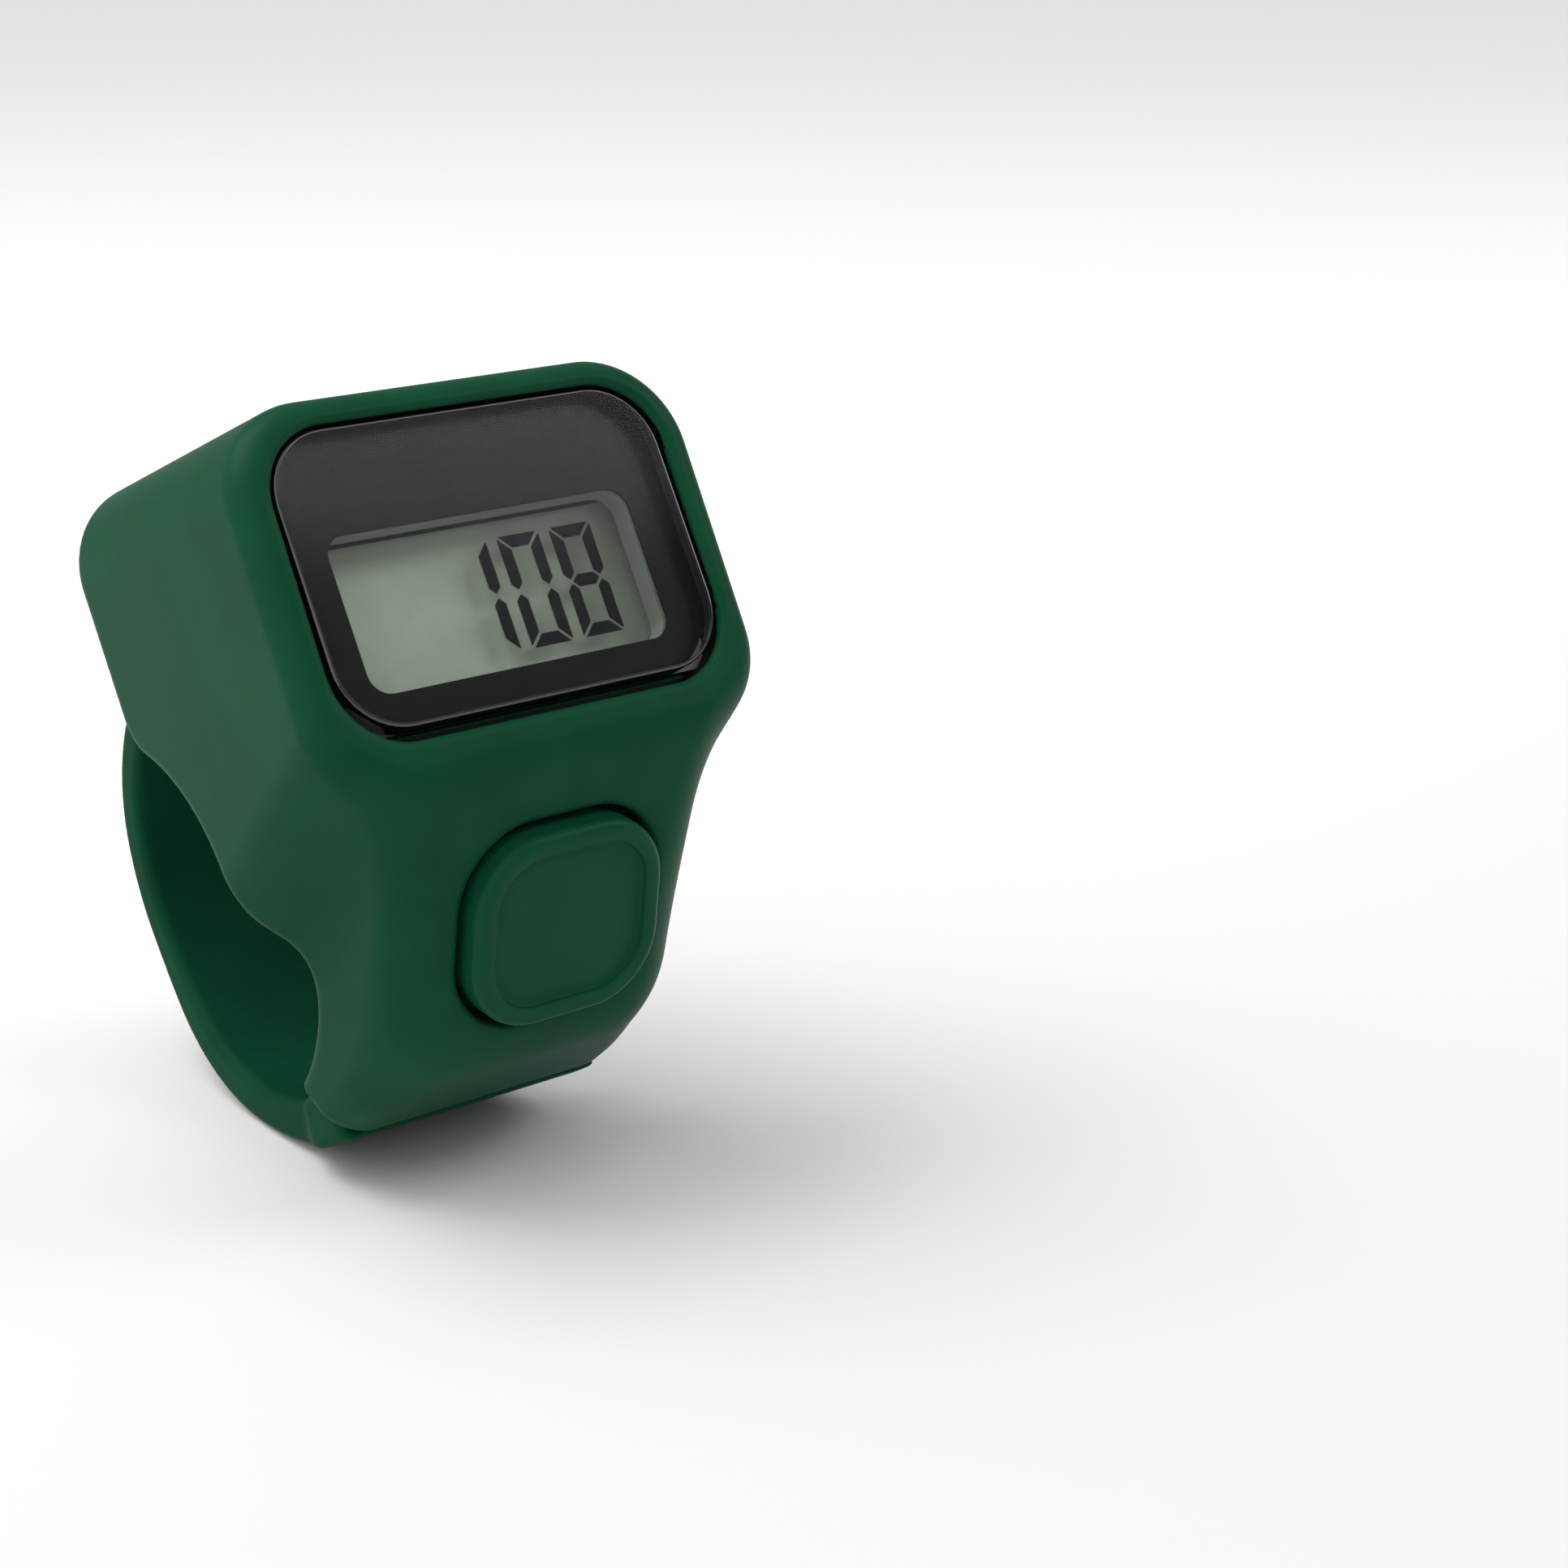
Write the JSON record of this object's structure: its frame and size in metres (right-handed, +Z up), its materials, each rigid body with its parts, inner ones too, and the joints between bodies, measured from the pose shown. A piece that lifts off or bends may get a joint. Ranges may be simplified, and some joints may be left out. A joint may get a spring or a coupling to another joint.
{
  "type": "digital tasbih counter",
  "caption": "Finger-ring tally counter with a tilted digital display, a square count button, a round reset button and a soft hooked strap that clips round the finger.",
  "frame": {"origin": "centre of the finger hole, midway across the counter", "axes": "+X along the finger hole, to the right of someone who reads the display; +Z up and -Y to the front, as the counter stands on its strap with the display leaning back 30 degrees"},
  "size_m": [0.021, 0.0284, 0.0323],
  "materials": {
    "shell_green": "satin",
    "strap_green": "soft satin",
    "button_green": "satin",
    "lens_clear": "polished",
    "mask_black": "gloss",
    "tape_black": "matte",
    "lcd_glass": "gloss",
    "lcd_ink": "matte",
    "reflector": "satin",
    "frame_white": "matte",
    "contact_rubber": "matte",
    "board_green": "satin",
    "resin_black": "satin",
    "part_brown": "matte",
    "cell_steel": "brushed",
    "contact_steel": "brushed",
    "switch_black": "matte",
    "link_amber": "satin",
    "cover_black": "matte",
    "screw_steel": "plain"
  },
  "bodies": {
    "case": {"front_shell": "shell_green", "display_lens": "lens_clear", "mask_film": "mask_black", "lens_tape": "tape_black", "lcd_panel": "lcd_glass", "lcd_reflector": "reflector", "lcd_digits": "lcd_ink", "lcd_frame": "frame_white", "contact_strips": "contact_rubber", "main_board": "board_green", "controller_chip": "resin_black", "board_parts": "part_brown", "button_cell": "cell_steel", "cell_plate_negative": "contact_steel", "cell_clip_positive": "contact_steel", "count_switch_case": "switch_black", "switch_board": "board_green", "flex_link": "link_amber", "reset_switch_case": "switch_black", "rear_cover": "cover_black", "cover_screws": "screw_steel", "strap_base": "strap_green"},
    "count_key": {"count_button": "button_green", "count_switch_stem": "switch_black"},
    "reset_key": {"reset_button": "button_green", "reset_switch_stem": "switch_black"},
    "strap": {"strap_hook": "strap_green"}
  },
  "joints": [
    {"name": "count_press", "type": "slide", "parent": "case", "child": "count_key", "axis": [0, 0.9909, 0.1344], "range_m": [0, 0.0005], "stiffness_N_per_m": 1500},
    {"name": "reset_press", "type": "slide", "parent": "case", "child": "reset_key", "axis": [0, -0.3952, -0.9186], "range_m": [0, 0.0004], "stiffness_N_per_m": 1500},
    {"name": "strap_flex", "type": "hinge", "parent": "case", "child": "strap", "pos_m": [0, -0.00158, -0.00871], "axis": [-1, 0, 0], "range_deg": [-2, 25], "stiffness_Nm_per_rad": 0.03}
  ]
}
